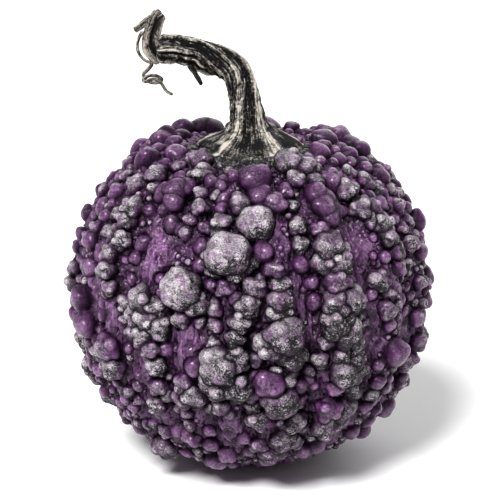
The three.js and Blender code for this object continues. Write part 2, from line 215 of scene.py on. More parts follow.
# ---- Fruit: rind ----
def groove(azimuth):
    """Depth of the valley between two ribs, deeper where they stand further apart."""
    turned = (azimuth - RIBS[0]) % 360
    starts = RIBS - RIBS[0]
    gaps = np.diff(np.append(starts, 360))
    rib = np.clip(np.searchsorted(starts, turned, side="right") - 1, 0, len(RIBS) - 1)
    across = (turned - starts[rib]) / gaps[rib]
    return GROOVE_DEPTH * gaps[rib] / WIDEST_GAP * np.sin(np.pi * across) ** 2


def rind_distance(x, y, z):
    """Height over the bare rind, measured along the line from the middle of the fruit."""
    out = np.hypot(x, y) + 1e-6
    wide = CREST_RADIUS - groove(np.degrees(np.arctan2(x, -y)))
    up = z - WAIST_HEIGHT
    up = up + np.where(up > 0, DISH_DEPTH * np.exp(-((out / DISH_REACH) ** 2)), 0)
    above = up > 0
    power = np.where(above, TOP_SQUARENESS, BOTTOM_SQUARENESS)
    tall = np.where(above, TOP_HEIGHT, BOTTOM_HEIGHT)
    size = ((out / wide) ** power + (np.abs(up) / tall) ** power) ** (1 / power)
    return np.hypot(out, up) * (1 - 1 / np.maximum(size, 0.05))


def rind_point(azimuth, latitude):
    """The point of the bare rind at an azimuth (0 faces the camera) and a latitude, in degrees."""
    turn = math.radians(azimuth)
    tilt = math.radians(latitude)
    wide = CREST_RADIUS - float(groove(np.array(float(azimuth))))
    tall = TOP_HEIGHT if latitude > 0 else BOTTOM_HEIGHT
    power = TOP_SQUARENESS if latitude > 0 else BOTTOM_SQUARENESS
    reach = ((math.cos(tilt) / wide) ** power + abs(math.sin(tilt) / tall) ** power) ** (-1 / power)
    out = reach * math.cos(tilt)
    dish = DISH_DEPTH * math.exp(-((out / DISH_REACH) ** 2)) if latitude > 0 else 0
    height = WAIST_HEIGHT + reach * math.sin(tilt) - dish
    return np.array((out * math.sin(turn), -out * math.cos(turn), height))


def rind_normal(azimuth, latitude):
    """The outward direction at that point."""
    along = rind_point(azimuth + 1, latitude) - rind_point(azimuth - 1, latitude)
    rise = rind_point(azimuth, latitude + 1) - rind_point(azimuth, latitude - 1)
    normal = np.cross(along, rise)
    return normal / np.linalg.norm(normal)


# ---- Fruit: warts ----
def near(azimuth, latitude, spots, within=5):
    """True within that many degrees of any of the spots."""
    return any(math.hypot((azimuth - a) * math.cos(math.radians(b)), latitude - b) < within for a, b in spots)


def make_wart(azimuth, latitude, radius, crust, lift):
    """A wart is a cluster of balls: a smooth bead, or a core with lobes round it."""
    normal = rind_normal(azimuth, latitude)
    centre = rind_point(azimuth, latitude) + normal * lift * radius
    side = np.cross(normal, (0.3, 0.2, 1.0))
    side /= np.linalg.norm(side)
    other = np.cross(normal, side)
    balls = []
    lumpiness = 0.5 if near(azimuth, latitude, SMOOTH_SPOTS) else 1.0
    if near(azimuth, latitude, LUMPY_SPOTS, 8):
        lumpiness = 1.4
    if lumpiness > 0.5:
        crust = min(crust, 0.9)
    if crust < SMOOTH_BELOW:
        lumpiness *= 0.6
    start = random.uniform(0, 2 * math.pi)
    if radius < PAIR_BELOW:
        lean = (math.cos(start) * side + math.sin(start) * other) * radius * random.uniform(0.0, 0.25)
        balls.append((centre + lean, radius * random.uniform(0.86, 0.97)))
        balls.append((centre - lean, radius * random.uniform(0.86, 0.97)))
        width = radius * 0.3
    else:
        balls.append((centre, radius * (0.92 - 0.08 * lumpiness)))
        count = 3 if radius < THREE_LOBES_BELOW else int(round(radius * 0.8))
        if crust < SMOOTH_BELOW:
            count = 2 if radius < FOUR_LOBED_BEAD else 4
        for i in range(count):
            height = 0.85 - 1.0 * (i + 0.5) / count
            turn = start + i * GOLDEN_ANGLE + random.uniform(-0.4, 0.4)
            spread = math.sqrt(max(1 - height * height, 0))
            aim = normal * height + spread * (math.cos(turn) * side + math.sin(turn) * other)
            size = radius * random.uniform(0.36, 0.58)
            reach = radius * (1 + 0.09 * lumpiness * random.uniform(-0.2, 1.6)) - size
            balls.append((centre + aim * reach, size))
        width = radius * (0.2 if crust < SMOOTH_BELOW else 0.09)
    flattened = PAIR_BELOW < radius < ROUND_FROM and crust > SMOOTH_BELOW
    return {
        "centre": centre,
        "normal": normal,
        "radius": radius,
        "crust": crust,
        "balls": balls,
        "width": width,
        "tint": random.uniform(0, 1),
        "flat": random.uniform(1.0, 1.3) if flattened else 1.0,
    }


def wart_distance(wart, x, y, z):
    """Distance to a wart's balls, rounded where they meet."""
    total = None
    for centre, radius in wart["balls"]:
        tall = (z - centre[2]) * wart["flat"]
        gap = np.sqrt((x - centre[0]) ** 2 + (y - centre[1]) ** 2 + tall ** 2) - radius
        total = gap if total is None else smooth_min(total, gap, wart["width"])
    return total


def hidden(azimuth):
    """True for the far side, which the photo doesn't show."""
    return azimuth > SHOWN[1] or azimuth < SHOWN[0]


def crest_distances(azimuth):
    """Degrees to the crest of each rib."""
    return np.abs((azimuth - RIBS + 180) % 360 - 180)


def crest_distance(azimuth):
    return float(crest_distances(azimuth).min())


def bareness(azimuth, latitude, radius):
    """1 in the middle of a bare strip, 0 for a wart of this radius that stays outside all of them."""
    best = 0.0
    for at, half, low, high in BARE:
        if low - 3 < latitude < high + 3:
            best = max(best, 1 - abs(azimuth - at) / (1.1 * half + 0.35 * radius))
    if not hidden(azimuth) and -48 < latitude < -12:
        best = max(best, (crest_distance(azimuth) - LOW_ROW_REACH) / 3)
    if hidden(azimuth) and -42 < latitude < 48:
        best = max(best, (crest_distance(azimuth) - BACK_ROW_REACH) / 3)
    return best


def smooth_stretch(rib, latitude, along):
    """True where a rib of the far side carries beads: near the top, and in stretches of its own."""
    return latitude > 52 or math.sin(1.9 * rib + along) > 0.35


warts = []
for azimuth, latitude, radius, crust in WARTS:
    warts.append(make_wart(azimuth, latitude, radius, crust, random.uniform(0.1, 0.25)))
for azimuth, latitude, radius, crust in SHOULDER_WARTS:
    warts.append(make_wart(azimuth, latitude, radius, crust, random.uniform(0.35, 0.55)))
for rib in range(len(RIBS_SHOWN), len(RIBS)):
    for place in range(ROW_WARTS):
        latitude = ROW_START + ROW_SPACING * place + 4 * math.sin(5 * rib + 3 * place)
        azimuth = RIBS[rib] + 3 * math.sin(7 * rib + 2 * place)
        radius = 7.6 + 2.2 * math.sin(3 * rib + 5 * place)
        if latitude < ROW_END and not (latitude > 48 and near(azimuth, latitude, SHOULDER_SPOTS, 9)):
            crust = 0.12 if smooth_stretch(rib, latitude, 0.8 * place) else 0.85
            warts.append(make_wart(azimuth, latitude, radius, crust, 0.1))

# The smaller warts. Sizes over 5 only complete the rows of the far side.
centres = np.array([wart["centre"] for wart in warts])
radii = np.array([wart["radius"] for wart in warts])
for size, tries, overlap in FILLERS:
    for _ in range(tries):
        azimuth = random.uniform(-180, 180)
        latitude = math.degrees(math.asin(random.uniform(-0.86, 0.93)))
        radius = size * random.uniform(0.85, 1.15)
        keep = random.uniform()
        crust = random.choice((0.05, 0.2, 0.5, 0.8))
        if latitude < -33 and crust < SMOOTH_BELOW:
            crust = 0.75
        if hidden(azimuth):
            rib = int(crest_distances(azimuth).argmin())
            crust = random.uniform(0.6, 0.95)
            if smooth_stretch(rib, latitude, 0.053 * latitude):
                crust = 0.1
        if size > 5 and (not hidden(azimuth) or crest_distance(azimuth) > 5.5):
            continue
        bare = bareness(azimuth, latitude, radius)
        if bare > 0 and (size > 3 or keep < 0.88 + bare):
            continue
        if latitude > ROW_END and size > 4:
            continue
        place = rind_point(azimuth, latitude)
        gaps = np.linalg.norm(centres - place, axis=1) - radii * 0.97
        closest = gaps.min()
        if closest < radius * (1 - overlap) or (size < 5 and closest > radius + 1.2 and keep < 0.94):
            continue
        wart = make_wart(azimuth, latitude, radius, crust, random.uniform(0.0, 0.3))
        warts.append(wart)
        centres = np.vstack((centres, wart["centre"]))
        radii = np.append(radii, radius)
print("warts", len(warts))

# ---- Fruit: one solid from the rind and its warts ----
STEP = 0.75
BAND = 3 * STEP
SLAB = 16
box_low = np.array((-125.0, -128.0, -3.0))
box_high = np.array((125.0, 128.0, 222.0))
counts = np.ceil((box_high - box_low) / STEP).astype(int)
xs, ys, zs = (box_low[i] + STEP * np.arange(counts[i]) for i in range(3))
field = np.empty(counts, np.float32)
for start in range(0, counts[2], SLAB):
    part = slice(start, start + SLAB)
    gap = rind_distance(xs[:, None, None], ys[None, :, None], zs[None, None, part])
    field[:, :, part] = np.clip(gap, -BAND, BAND)
for wart in warts:
    reach = wart["radius"] * 1.2 + BAND + 1
    first = np.maximum(((wart["centre"] - reach - box_low) / STEP).astype(int), 0)
    last = np.minimum(((wart["centre"] + reach - box_low) / STEP).astype(int) + 2, counts)
    area = tuple(slice(a, b) for a, b in zip(first, last))
    x, y, z = xs[area[0]][:, None, None], ys[area[1]][None, :, None], zs[area[2]][None, None, :]
    gap = np.clip(wart_distance(wart, x, y, z), -BAND, BAND)
    field[area] = smooth_min(field[area], gap, BEAD_JOIN if wart["crust"] < SMOOTH_BELOW else CRUST_JOIN)
# Cut flat at the floor.
field = np.maximum(np.clip(field, -BAND, BAND), -zs[None, None, :]).astype(np.float32)


def box_blur(values, reach):
    """The mean over a box that extends reach cells to each side."""
    for axis in range(3):
        sums = np.cumsum(values, axis=axis, dtype=np.float64)
        places = np.arange(values.shape[axis])
        ahead = np.take(sums, np.minimum(places + reach, len(places) - 1), axis=axis)
        behind = np.take(sums, np.maximum(places - reach - 1, 0), axis=axis)
        values = ((ahead - behind) / (2 * reach + 1)).astype(np.float32)
    return values


grid = vdb.FloatGrid(BAND)
grid.copyFromArray(field)
grid.transform = vdb.createLinearTransform(voxelSize=STEP)
points, quads = grid.convertToQuads(isovalue=0)
points = np.asarray(points, float) + box_low
quads = np.asarray(quads, int)
print("fruit", len(points), len(quads))

# How far each point stands out (above 0) or lies in a hollow (below 0), at two sizes in millimetres.
# The colour uses these for painted shade in the hollows and a painted highlight on what stands out.
HOLLOW_SIZES = (2.4, 5.5)
cells = np.clip(np.rint((points - box_low) / STEP).astype(int), 0, counts - 1)
hollow = []
for size in HOLLOW_SIZES:
    blurred = box_blur(field, max(1, int(round(size / STEP))))
    hollow.append(blurred[cells[:, 0], cells[:, 1], cells[:, 2]] / BAND)
del field, blurred

# The nearest two solids to each point give its wart and the crease between them.
FAR = 9.0
CREASE_WIDTH = 1.5
# The lower right side of each wart, away from the key light: its cracks widen there, for wear and as painted
# shade.
WORN_AND_SHADED_SIDE = (0.45, 0.0, -0.9)
order = np.argsort(points[:, 0])
sorted_x = points[order, 0]
nearest = rind_distance(*points.T)
second = np.full(len(points), FAR)
crust = np.zeros(len(points))
tint = np.full(len(points), 0.5)
rise = np.zeros(len(points))
bead = np.zeros(len(points))
under = np.zeros(len(points))
for wart in warts:
    centre, radius = wart["centre"], wart["radius"]
    reach = radius * 1.25 + 2
    a, b = np.searchsorted(sorted_x, (centre[0] - reach, centre[0] + reach))
    some = order[a:b]
    close = points[some]
    inside = (np.abs(close[:, 1] - centre[1]) < reach) & (np.abs(close[:, 2] - centre[2]) < reach)
    some = some[inside]
    close = close[inside]
    gap = wart_distance(wart, *close.T)
    ahead = gap < nearest[some]
    second[some] = np.where(ahead, nearest[some], np.minimum(second[some], gap))
    won = some[ahead]
    nearest[won] = gap[ahead]
    crust[won] = wart["crust"]
    tint[won] = wart["tint"]
    bead[won] = 1
    rise[won] = (close[ahead] - centre) @ wart["normal"] / radius
    under[won] = (close[ahead] - centre) @ WORN_AND_SHADED_SIDE / radius
# Painted shade: the crease mask blackens the rind's colour between neighbouring warts, fully on crusted
# warts, less on smooth beads and least on the bare rind.
crease_shade_depth = np.where(bead > 0, np.where(crust < SMOOTH_BELOW, 0.85, 1.0), 0.6)
crease = np.exp(-np.maximum(second - nearest, 0) / CREASE_WIDTH) * crease_shade_depth

# The dry, dark patch round the foot of the stem.
CORK_MIDDLE = -12
CORK_HALF_WIDTH = 36
CORK_HALF_LENGTH = 45
cork = np.hypot(points[:, 0] / CORK_HALF_WIDTH, (points[:, 1] - CORK_MIDDLE) / CORK_HALF_LENGTH)
cork = cork + 0.12 * noise(points, 5.0)
cork = np.clip((1.12 - cork) / 0.16, 0, 1) * (points[:, 2] > 150)

# ---- Fruit: wrinkles of the bare rind and bumps of the crust ----
turn = np.degrees(np.arctan2(points[:, 0], -points[:, 1]))
outward = points - (0, 0, WAIST_HEIGHT)
outward /= np.linalg.norm(outward, axis=1)[:, None]
rumple = 0.6 * noise(points, (5.0, 5.0, 14.0)) + 1.3 * (0.35 - np.abs(noise(points + 17, (3.6, 3.6, 8.0))))
rumple += 0.9 * (0.35 - np.abs(noise(points + 31, (2.2, 2.2, 3.6))))
rumple += 0.25 * noise(points, 2.2)
# A smooth fold of flesh stands in the bare strip left of the middle.
FOLD_AZIMUTH = -29.5
FOLD_HEIGHT = 146
fleshy = np.exp(-((turn - FOLD_AZIMUTH) / 2.2) ** 2) * np.exp(-((points[:, 2] - FOLD_HEIGHT) / 12) ** 2)
rough = 0.5 * noise(points + 9, 3.4) + 0.35 * noise(points + 40, 1.9)
bent = points + 0.9 * np.column_stack([noise(points + k, 2.6) for k in (5, 15, 25)])
furrow = np.exp(-((noise(bent + 77, (3.2, 3.2, 2.3)) / 0.13) ** 2))
bare = 1 - bead
shift = bare * (2.5 * rumple + 3.2 * fleshy) * np.clip(points[:, 2] / 8, 0, 1)
shift += bead * rough * (0.1 + 0.9 * crust) * 0.4 * np.clip(rise * 2 + 0.6, 0, 1)
shift -= 0.35 * bead * crust * furrow
# The flat underside stays flat.
shift *= np.clip(points[:, 2] / 2, 0, 1)
points = points + outward * shift[:, None]


def make_mesh(name, points, faces):
    """A smooth mesh object from points in millimetres and an array of faces with equal corner counts."""
    mesh = bpy.data.meshes.new(name)
    faces = np.asarray(faces)
    sides = faces.shape[1]
    mesh.vertices.add(len(points))
    mesh.vertices.foreach_set("co", (np.asarray(points) * MM).astype(np.float32).ravel())
    mesh.loops.add(faces.size)
    mesh.loops.foreach_set("vertex_index", faces.astype(np.int32).ravel())
    mesh.polygons.add(len(faces))
    mesh.polygons.foreach_set("loop_start", np.arange(0, faces.size, sides, dtype=np.int32))
    mesh.update(calc_edges=True)
    mesh.validate()
    mesh.polygons.foreach_set("use_smooth", np.full(len(mesh.polygons), True))
    thing = bpy.data.objects.new(name, mesh)
    bpy.context.collection.objects.link(thing)
    return thing


def add_values(thing, name, values):
    layer = thing.data.attributes.new(name, "FLOAT", "POINT")
    layer.data.foreach_set("value", np.asarray(values, np.float32))


# Faces are turned so that they look outwards.
corner = points[quads]
facing = np.cross(corner[:, 2] - corner[:, 0], corner[:, 3] - corner[:, 1])
middle = corner.mean(axis=1) - (0, 0, WAIST_HEIGHT)
if (facing * middle).sum() < 0:
    quads = quads[:, ::-1]
fruit = make_mesh("warty_rind", points, quads)
for name, values in (
    ("crust", crust),
    ("tint", tint),
    ("bead", bead),
    ("rise", rise),
    ("under", under),
    ("cork", cork),
    # relief: the bare rind's wrinkles, with a drop below 120 mm, fullest below 60 mm; it drives painted shade
    # and painted highlight in the colour.
    ("relief", bare * (rumple - 0.4 * np.clip((120 - points[:, 2]) / 60, 0, 1))),
    ("furrow", furrow),
    ("crease", crease),
    ("hollow_small", hollow[0]),
    ("hollow_large", hollow[1]),
):
    add_values(fruit, name, values)

# Longitude and latitude unroll the fruit for baking, with the seam at the back.
loops = quads.ravel()
across = (turn[loops] + 180) / 360
across = across.reshape(-1, 4)
across = np.where((across.max(axis=1, keepdims=True) - across) > 0.5, across + 1, across)
slope = np.degrees(np.arctan2(points[:, 2] - WAIST_HEIGHT, np.hypot(points[:, 0], points[:, 1])))
layout = np.column_stack((across.ravel() * 0.98, (slope[loops] + 90) / 180))
layer = fruit.data.uv_layers.new(name="OFBake")
layer.data.foreach_set("uv", layout.astype(np.float32).ravel())


# ---- Materials: helpers ----
def new_material(name):
    material = bpy.data.materials.new(name)
    material.use_nodes = True
    material.node_tree.nodes.clear()
    output = material.node_tree.nodes.new("ShaderNodeOutputMaterial")
    shader = material.node_tree.nodes.new("ShaderNodeBsdfPrincipled")
    material.node_tree.links.new(shader.outputs[0], output.inputs[0])
    return material, material.node_tree, shader


def plug(tree, value, socket):
    """Links a socket, or sets a constant."""
    if isinstance(value, bpy.types.NodeSocket):
        tree.links.new(value, socket)
    else:
        socket.default_value = value


def attribute(tree, name):
    made = tree.nodes.new("ShaderNodeAttribute")
    made.attribute_name = name
    return made.outputs["Fac"]


def calculate(tree, operation, a, b=0.0, clamp=False):
    made = tree.nodes.new("ShaderNodeMath")
    made.operation = operation
    made.use_clamp = clamp
    plug(tree, a, made.inputs[0])
    plug(tree, b, made.inputs[1])
    return made.outputs[0]


def texture(tree, scale, detail=3.0, stretch=(1, 1, 1), distortion=0.0, roughness=0.5):
    """Noise in the object's space, in metres: scale is the number of bumps in a metre."""
    where = tree.nodes.new("ShaderNodeTexCoord")
    mapping = tree.nodes.new("ShaderNodeMapping")
    mapping.inputs["Scale"].default_value = stretch
    tree.links.new(where.outputs["Object"], mapping.inputs["Vector"])
    made = tree.nodes.new("ShaderNodeTexNoise")
    tree.links.new(mapping.outputs[0], made.inputs["Vector"])
    made.inputs["Scale"].default_value = scale
    made.inputs["Detail"].default_value = detail
    made.inputs["Roughness"].default_value = roughness
    made.inputs["Distortion"].default_value = distortion
    return made.outputs["Fac"]


def ramp(tree, value, stops):
    made = tree.nodes.new("ShaderNodeValToRGB")
    line = made.color_ramp
    while len(line.elements) < len(stops):
        line.elements.new(0.5)
    for element, (position, colour) in zip(line.elements, stops):
        element.position = position
        element.color = (*colour, 1)
    plug(tree, value, made.inputs[0])
    return made.outputs[0]


def span(tree, value, low, high, out_low=0.0, out_high=1.0):
    """Maps low to out_low and high to out_high, and clamps beyond them."""
    made = tree.nodes.new("ShaderNodeMapRange")
    made.clamp = True
    plug(tree, value, made.inputs["Value"])
    made.inputs["From Min"].default_value = low
    made.inputs["From Max"].default_value = high
    made.inputs["To Min"].default_value = out_low
    made.inputs["To Max"].default_value = out_high
    return made.outputs[0]


def mix(tree, share, a, b, blend="MIX"):
    made = tree.nodes.new("ShaderNodeMix")
    made.data_type = "RGBA"
    made.blend_type = blend
    plug(tree, share, made.inputs[0])
    plug(tree, a, made.inputs[6])
    plug(tree, b, made.inputs[7])
    return made.outputs[2]


def bump(tree, height, strength, distance, under=None):
    """A normal bent by a height, on top of the bump that is under it."""
    made = tree.nodes.new("ShaderNodeBump")
    made.inputs["Strength"].default_value = strength
    made.inputs["Distance"].default_value = distance
    tree.links.new(height, made.inputs["Height"])
    if under is not None:
        tree.links.new(under, made.inputs["Normal"])
    return made.outputs[0]


def weighted(tree, *terms):
    """The sum of values, each times its weight."""
    total = 0.0
    for value, weight in terms:
        total = calculate(tree, "ADD", calculate(tree, "MULTIPLY", value, weight), total)
    return total


def veins(tree, value, width):
    """1 on the thin lines where noise crosses its middle value, 0 further than width away."""
    away = calculate(tree, "ABSOLUTE", calculate(tree, "SUBTRACT", value, 0.5))
    return calculate(tree, "SUBTRACT", 1.0, calculate(tree, "DIVIDE", away, width), clamp=True)


# ---- Rind material: noises and the values that the mesh carries ----
DULL_PURPLE = (0.230, 0.120, 0.235, 1)
PAINTED_TOP_HIGHLIGHT = (0.400, 0.270, 0.400, 1)
FOLD_PURPLE = (0.035, 0.008, 0.040, 1)
FLAW_BLACK = (0.012, 0.006, 0.014, 1)
CRACK_BLACK = (0.006, 0.005, 0.007, 1)
PAINTED_CREASE_SHADE = (0.006, 0.002, 0.007, 1)
rind, tree, shader = new_material("warty rind")
patches = texture(tree, 110, 4)
grain = texture(tree, 620, 5, distortion=0.6, roughness=0.62)
speck = texture(tree, 1500, 2)
wrinkles = texture(tree, 230, 2, stretch=(1, 1, 0.6), distortion=0.4)
streaks = texture(tree, 260, 4, stretch=(1, 1, 0.3))
lines = texture(tree, 170, 3, stretch=(1, 1, 1.5), distortion=1.1, roughness=0.55)
hairs = texture(tree, 540, 3, stretch=(1, 1, 1.5), distortion=0.9, roughness=0.55)
crust_amount = attribute(tree, "crust")
rise_amount = attribute(tree, "rise")
bead_share = attribute(tree, "bead")
bare_share = calculate(tree, "SUBTRACT", 1.0, bead_share)
tint_amount = attribute(tree, "tint")
convex = attribute(tree, "hollow_small")
cork_share = attribute(tree, "cork")

# ---- Rind material: purple skin, mottled, with a painted highlight in pale lilac on the warts' tops and fine dark lines ----
mottle = weighted(tree, (streaks, 0.35), (grain, 0.22), (-0.285, 1.0))
mottle = calculate(tree, "MULTIPLY", mottle, span(tree, bare_share, 0, 1, 1.0, 0.45))
purple_tone = weighted(tree, (patches, 0.35), (tint_amount, 0.14), (0.285, 1.0), (mottle, 1.0))
# Painted shade and highlight: the bare rind is darker in its wrinkles' valleys and towards the bottom,
# lighter on their ridges.
purple_tone = weighted(tree, (purple_tone, 1.0), (attribute(tree, "relief"), 0.18), (bare_share, 0.105))
purple = ramp(tree, purple_tone, [
    (0.40, (0.026, 0.006, 0.031)), (0.52, (0.100, 0.028, 0.108)), (0.64, (0.205, 0.088, 0.215)),
    (0.80, (0.400, 0.205, 0.420)),
])
# Painted highlight: the top of each wart is lightened towards pale lilac.
top_highlight = calculate(tree, "MULTIPLY", span(tree, rise_amount, 0.45, 1.05, 0.0, 0.55), bead_share)
top_highlight = calculate(tree, "MULTIPLY", top_highlight, span(tree, grain, 0.40, 0.60))
purple = mix(tree, top_highlight, purple, PAINTED_TOP_HIGHLIGHT)
flaws = calculate(tree, "MULTIPLY", veins(tree, hairs, 0.045), span(tree, patches, 0.43, 0.58, 0.0, 0.85))
flaws = calculate(tree, "MULTIPLY", flaws, bead_share)
purple = mix(tree, flaws, purple, FLAW_BLACK)
folds = calculate(tree, "MULTIPLY", veins(tree, wrinkles, 0.035), bare_share)
purple = mix(tree, calculate(tree, "MULTIPLY", folds, 0.4), purple, FOLD_PURPLE)

# ---- Rind material: grey crust, cracked where it is worn, and more on the warts' lower right sides and in their hollows as painted shade ----
# Painted shade as well as wear: cracks widen on each wart's lower right side, on its lower part and in its
# hollows.
wear_and_shade = weighted(tree, (patches, 1.0), (attribute(tree, "under"), 0.32), (tint_amount, 0.2))
smoothest = span(tree, crust_amount, 0.9, 1)
wear_and_shade = weighted(tree, (wear_and_shade, 1.0), (convex, -0.5), (rise_amount, -0.12), (smoothest, -0.07))
wear_and_shade = span(tree, wear_and_shade, 0.35, 0.83)
cracks = veins(tree, lines, weighted(tree, (wear_and_shade, 0.07), (0.012, 1.0)))
cracks = calculate(tree, "MAXIMUM", cracks, veins(tree, hairs, weighted(tree, (wear_and_shade, 0.12), (0.012, 1.0))))
cracks = calculate(tree, "MULTIPLY", cracks, 2.0, clamp=True)
furrows = calculate(tree, "MULTIPLY", attribute(tree, "furrow"), span(tree, wear_and_shade, 0.08, 0.5))
cracks = calculate(tree, "MAXIMUM", cracks, span(tree, furrows, 0.2, 0.55))
silver = ramp(tree, weighted(tree, (grain, 0.6), (speck, 0.2), (streaks, 0.2)), [
    (0.32, (0.240, 0.185, 0.235)), (0.48, (0.430, 0.385, 0.420)), (0.64, (0.690, 0.665, 0.675)),
])
silver = mix(tree, 1.0, silver, span(tree, crust_amount, 0.9, 1.0, 0.87, 1.16), "MULTIPLY")
silver = mix(tree, span(tree, patches, 0.52, 0.36, 0.0, 0.7), silver, DULL_PURPLE)
silver = mix(tree, calculate(tree, "MULTIPLY", cracks, 0.97), silver, CRACK_BLACK)
cover = weighted(tree, (crust_amount, 1.0), (rise_amount, 0.5), (grain, 0.7), (patches, 0.9))
cover = calculate(tree, "MULTIPLY", span(tree, cover, 1.5, 2.0), bead_share)

# ---- Rind material: both together, with painted shade in creases, hollows and at the warts' feet and a painted highlight on bulges, charred round the stem's foot ----
colour = mix(tree, cover, purple, silver)
# Painted highlight and shade: the colour is lighter where the rind bulges and darker in its small hollows.
colour = mix(tree, 1.0, colour, span(tree, convex, -0.05, 0.3, 0.75, 1.3), "MULTIPLY")
# Painted shade: near black in the creases between warts, round each wart's foot and in small and broad
# hollows.
foot_shade = span(tree, rise_amount, 0.8, 0.0, 0.0, 0.8)
foot_shade = calculate(tree, "MULTIPLY", foot_shade, bead_share)
dark = calculate(tree, "MAXIMUM", span(tree, attribute(tree, "crease"), 0.3, 0.8, 0.0, 0.97), foot_shade)
dark = calculate(tree, "MAXIMUM", dark, span(tree, convex, 0.2, -0.38, 0.0, 0.9))
dark = calculate(tree, "MAXIMUM", dark, span(tree, attribute(tree, "hollow_large"), 0.1, -0.42, 0.0, 0.85))
colour = mix(tree, dark, colour, PAINTED_CREASE_SHADE)
char = ramp(tree, grain, [
    (0.42, (0.008, 0.008, 0.009)), (0.55, (0.040, 0.040, 0.040)), (0.66, (0.300, 0.290, 0.270)),
])
colour = mix(tree, cork_share, colour, char)
tree.links.new(colour, shader.inputs["Base Color"])

# ---- Rind material: a shine on the skin only, and bumps ----
tree.links.new(span(tree, cover, 0, 1, 0.3, 0.5), shader.inputs["Roughness"])
shader.inputs["Specular IOR Level"].default_value = 0.22
sunk = calculate(tree, "MULTIPLY", dark, span(tree, bare_share, 0, 1, 1.0, 0.45))
bright = calculate(tree, "MULTIPLY", span(tree, sunk, 0.0, 0.5, 0.8, 0.0), span(tree, cork_share, 0, 1, 1, 0))
bright = calculate(tree, "MULTIPLY", bright, span(tree, cover, 0.0, 1.0, 1.0, 0.12))
tree.links.new(bright, shader.inputs["Coat Weight"])
shader.inputs["Coat Roughness"].default_value = 0.22
wrinkled = calculate(tree, "MULTIPLY", wrinkles, bare_share)
fine = bump(tree, wrinkled, 0.9, 0.0045)
fine = bump(tree, streaks, 0.6, 0.0012, fine)
fine = bump(tree, weighted(tree, (grain, 1.0), (cracks, -0.35)), 0.5, 0.0009, fine)
tree.links.new(fine, shader.inputs["Normal"])
film = bump(tree, wrinkled, 0.7, 0.0035)
tree.links.new(bump(tree, streaks, 0.25, 0.0007, film), shader.inputs["Coat Normal"])
fruit.data.materials.append(rind)


# ---- Stem and strands: sweeps ----
GRAIN_SHIFT = 70


def blend(t, start, end, a, b):
    """a at time start, b at time end."""
    return (end - t) / (end - start) * a + (t - start) / (end - start) * b


def follow(path, count):
    """Points evenly spaced along a smooth curve through the path, and its length."""
    path = np.array(path, float)
    knots = np.concatenate(([0], np.cumsum(np.sqrt(np.linalg.norm(np.diff(path, axis=0), axis=1)))))
    ends = np.vstack((2 * path[0] - path[1], path, 2 * path[-1] - path[-2]))
    times = np.concatenate(([2 * knots[0] - knots[1]], knots, [2 * knots[-1] - knots[-2]]))
    dense = []
    for i in range(1, len(path)):
        t = np.linspace(times[i], times[i + 1], 60, endpoint=False)[:, None]
        p, s = ends[i - 1:i + 3], times[i - 1:i + 3]
        a = [blend(t, s[j], s[j + 1], p[j], p[j + 1]) for j in range(3)]
        b = [blend(t, s[j], s[j + 2], a[j], a[j + 1]) for j in range(2)]
        dense.append(blend(t, s[1], s[2], b[0], b[1]))
    dense = np.vstack(dense + [path[-1:]])
    length = np.concatenate(([0], np.cumsum(np.linalg.norm(np.diff(dense, axis=0), axis=1))))
    wanted = np.linspace(0, length[-1], count)
    return np.column_stack([np.interp(wanted, length, dense[:, i]) for i in range(3)]), length[-1]


def sweep(path, rings, sides, outline, flatness=1.0, rounded=1.0, scale=9.0):
    """Skins a section along a path. Its ends are rounded over the section's radius times rounded.

    outline(share, angle) gives its radius, its ridge height and the angle that its grain follows.
    flatness squeezes the section along its first side. The material lays out the grain on a ring whose
    radius is scale, in millimetres.
    """
    line, length = follow(path, rings)
    around = np.arange(sides) * 2 * math.pi / sides
    share, angle = np.meshgrid(np.linspace(0, 1, rings), around, indexing="ij")
    radius, ridge, own = outline(share, angle)
    along = share * length
    size = radius.mean(axis=1, keepdims=True) * rounded
    for far in (along, length - along):
        radius = radius * np.sqrt(np.clip(1 - (1 - np.clip(far / size, 0, 1)) ** 2, 0.0004, 1))
    forward = np.gradient(line, axis=0)
    forward /= np.linalg.norm(forward, axis=1)[:, None]
    side = np.array((0.0, -1.0, 0.0))
    points = np.empty((rings, sides, 3))
    for i in range(rings):
        side = side - side @ forward[i] * forward[i]
        side /= np.linalg.norm(side)
        other = np.cross(forward[i], side)
        points[i] = line[i] + np.outer(radius[i] * flatness * np.cos(angle[i]), side)
        points[i] += np.outer(radius[i] * np.sin(angle[i]), other)
    i, j = np.meshgrid(np.arange(rings - 1), np.arange(sides), indexing="ij")
    following = (j + 1) % sides
    here, ahead = i * sides, (i + 1) * sides
    faces = np.stack((here + j, here + following, ahead + following, ahead + j), -1)
    values = (ridge.ravel(), along.ravel(), (scale * np.cos(own)).ravel(), (scale * np.sin(own)).ravel())
    return points.reshape(-1, 3), faces.reshape(-1, 4), values


def swept_piece(name, parts):
    """One object from one or more sweeps, each with its own stretch of grain."""
    points, faces = [], []
    values = [[] for _ in range(4)]
    offset = 0
    for number, (part_points, part_faces, part_values) in enumerate(parts):
        points.append(part_points)
        faces.append(part_faces + offset)
        offset += len(part_points)
        for kept, new in zip(values, part_values):
            kept.append(new)
        values[1][-1] = values[1][-1] + GRAIN_SHIFT * number
    thing = make_mesh(name, np.vstack(points), np.vstack(faces))
    for label, kept in zip(("ridge", "along", "around_x", "around_y"), values):
        add_values(thing, label, np.concatenate(kept))
    return thing


